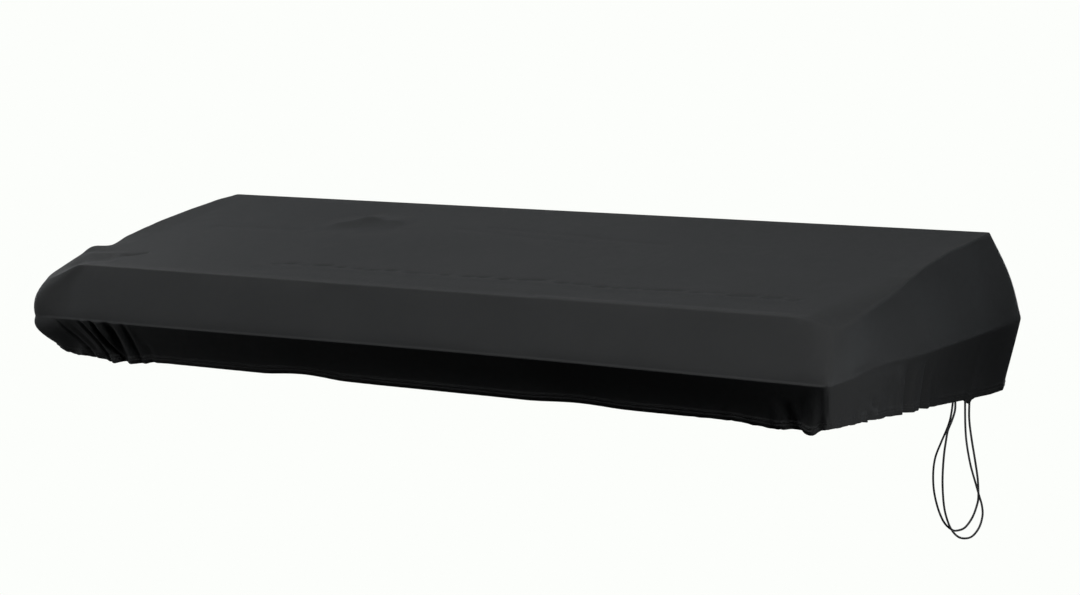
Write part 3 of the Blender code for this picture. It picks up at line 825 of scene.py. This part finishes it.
def mapCloth(bm, noted):    # the cloth's own lengths as a map, and how hard it is drawn over an edge, with a painted highlight behind the front ridge
    drawn, cutMap = bm.verts.layers.float["drawn"], bm.loops.layers.uv["cut"]
    topDepth = rings["ridge"]["back"] - rings["ridge"]["front"]
    for vert, note in noted.items():
        toLip = vert.co.y - rings["ridge"]["front"]
        # painted highlight: the top's band behind the front ridge is made paler, on top of the stretched knit
        if note["zone"] == "top" and toLip < paleAndHighlightReach["lip"]:
            toEnd = (paleAndHighlightReach["lipEnd"] - vert.co.x) / paleAndHighlightReach["lipOver"]
            vert[drawn] = bump(max(toLip, 0.0), paleAndHighlightReach["lip"]) * ease(toEnd)
        else:
            vert[drawn] = bump(max(note["edge"], 0.0), paleAndHighlightReach["other"]) * paleAndHighlightReach["otherStrength"]
    for face in bm.faces:
        side = sideOfFace([noted[vert]["key"] for vert in face.verts])
        outX, outY = outwards.get(side, (0.0, 0.0))
        for loop in face.loops:
            column, rank, _ = noted[loop.vert]["key"]
            cut = noted[loop.vert]["cut"]
            loop[cutMap].uv = (columns[column] + outX * cut,
                               ranks[rank] / cover["depth"] * topDepth + outY * cut)


def hemLine(noted, row):    # points and outward directions once around the cover in one row
    at = {note["key"]: vert for vert, note in noted.items()}
    keys = ([(column, 0) for column in range(lastColumn)] + [(lastColumn, rank) for rank in range(lastRank)]
            + [(column, lastRank) for column in range(lastColumn, 0, -1)]
            + [(0, rank) for rank in range(lastRank, 0, -1)])
    verts = [at[key + (row,)] for key in keys]
    return [(vert.co - origin, vert.normal.copy()) for vert in verts]


# two sewn lines around the casing: heights over the hem's edge (two of hemRows) and size of a stitch
stitches = dict(heights=(0.0081, 0.0054), long=0.0026, gap=0.0007, thick=0.00034, sink=0.00004,
                around=6, rings=4, batch=40)


def makeCloth():
    bm = cutCloth()
    noted = drapeCloth(bm)
    roundLines(bm, noted)
    foldCloth(bm, noted)
    mapCloth(bm, noted)
    bm.normal_update()
    firstHemRow = len(upperRows) + len(lowerRows) + 1
    seamRows = [firstHemRow + hemRows.index(height) for height in stitches["heights"]]
    seams = [hemLine(noted, row) for row in seamRows]
    bmesh.ops.translate(bm, vec=-origin, verts=bm.verts)
    mesh = bpy.data.meshes.new("stretch_cover")
    bm.to_mesh(mesh)
    bm.free()
    mesh.shade_smooth()
    mesh.materials.append(knitCloth)
    cloth = bpy.data.objects.new("stretch_cover", mesh)
    bpy.context.scene.collection.objects.link(cloth)
    thick = cloth.modifiers.new("cloth", "SOLIDIFY")
    thick.thickness = cover["cloth"]
    thick.offset = -1.0
    thick.use_even_offset = True
    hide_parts("cover")
    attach(cloth, "root")
    print("cover made:", len(mesh.polygons), "faces a side")
    return cloth, seams


def sewAlong(line):    # a place and a direction for every stitch of a closed line
    pace, proud = stitches["long"] + stitches["gap"], stitches["thick"] / 2 - stitches["sink"]
    walked, due, found = 0.0, 0.0, []
    for (start, normal), (end, _) in zip(line, line[1:] + line[:1]):
        run = (end - start).length
        while due < walked + run:
            middle = start.lerp(end, (due - walked) / run) + normal * proud
            turn = Vector((0.0, 0.0, 1.0)).rotation_difference(end - start).to_matrix().to_4x4()
            found.append(Matrix.Translation(middle) @ turn)
            due += pace
        walked += run
    return found


def makeStitches(lines):    # built in batches, which is quicker than one growing mesh
    size = Matrix.Diagonal((stitches["thick"] / 2, stitches["thick"] / 2, stitches["long"] / 2, 1.0))
    turns = [turn @ size for line in lines for turn in sewAlong(line)]
    whole = bmesh.new()
    for first in range(0, len(turns), stitches["batch"]):
        part = bmesh.new()
        for turn in turns[first:first + stitches["batch"]]:
            bmesh.ops.create_uvsphere(part, u_segments=stitches["around"], v_segments=stitches["rings"],
                                      radius=1.0, matrix=turn)
        batch = bpy.data.meshes.new("stitch_batch")
        part.to_mesh(batch)
        part.free()
        whole.from_mesh(batch)
        bpy.data.meshes.remove(batch)
    mesh = bpy.data.meshes.new("hem_stitching")
    whole.to_mesh(mesh)
    whole.free()
    mesh.shade_smooth()
    mesh.materials.append(sewingThread)
    sewn = bpy.data.objects.new("hem_stitching", mesh)
    bpy.context.scene.collection.objects.link(sewn)
    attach(sewn, "root")
    print("stitching made:", len(turns), "stitches")
    return sewn


cloth, seams = makeCloth()
sewn = makeStitches(seams)


# studio
studio = dict(
    floorLow=0.42, floorSize=80.0, floorColour=(0.975, 0.990, 0.966, 1.0), sky=0.006,
    lights=(
        dict(name="near_right", place=(0.7, -1.0, 1.5), size=0.5, power=9.0),
        dict(name="key_front_right", place=(0.9, -1.1, 2.3), size=0.8, power=40.0),
        dict(name="high_right", place=(1.6, -1.1, 2.0), size=1.0, power=1.2),
        dict(name="fill_front", place=(0.4, -1.2, 1.2), size=0.6, power=1.4),
        dict(name="behind_left", place=(-0.7, 1.1, 0.5), size=0.5, power=0.85),
        dict(name="behind_right", place=(0.40, 1.50, -0.02), size=0.3, power=8.0),
        dict(name="side_right_low", place=(0.72, -0.16, -0.15), size=0.15, power=0.34),
        dict(name="side_left_low", place=(-0.85, -0.40, -0.12), size=0.2, power=0.28),
        dict(name="side_left_back", place=(-1.0, -0.15, -0.20), size=0.3, power=0.50),
        dict(name="side_left", place=(-0.9, 0.0, 0.35), size=0.4, power=1.35),
    ),
)


def makeStudio():
    scene = bpy.context.scene
    bm = bmesh.new()
    bmesh.ops.create_grid(bm, x_segments=4, y_segments=4, size=studio["floorSize"] / 2)
    bmesh.ops.translate(bm, vec=(0.0, 0.0, -studio["floorLow"]), verts=bm.verts)
    mesh = bpy.data.meshes.new("floor")
    bm.to_mesh(mesh)
    bm.free()
    pale = bpy.data.materials.new("pale_floor")
    pale.use_nodes = True
    surface = pale.node_tree.nodes["Principled BSDF"]
    surface.inputs["Base Color"].default_value = (0.0, 0.0, 0.0, 1.0)
    surface.inputs["Roughness"].default_value = 1.0
    surface.inputs["Specular IOR Level"].default_value = 0.0
    surface.inputs["Emission Color"].default_value = studio["floorColour"]
    surface.inputs["Emission Strength"].default_value = 1.0
    mesh.materials.append(pale)
    floor = bpy.data.objects.new("floor", mesh)
    scene.collection.objects.link(floor)
    floor.visible_diffuse = False
    floor.visible_glossy = False
    floor.visible_shadow = False
    for lamp in studio["lights"]:
        light = bpy.data.lights.new(lamp["name"], "AREA")
        light.size = lamp["size"]
        light.energy = lamp["power"]
        made = bpy.data.objects.new(lamp["name"], light)
        made.location = Vector(lamp["place"])
        made.rotation_euler = (-made.location).to_track_quat("-Z", "Y").to_euler()
        scene.collection.objects.link(made)
    world = bpy.data.worlds.new("studio")
    world.use_nodes = True
    world.node_tree.nodes["Background"].inputs["Color"].default_value = (1.0, 1.0, 1.0, 1.0)
    world.node_tree.nodes["Background"].inputs["Strength"].default_value = studio["sky"]
    scene.world = world
    scene.view_settings.view_transform = "Standard"


makeStudio()
print("studio set")
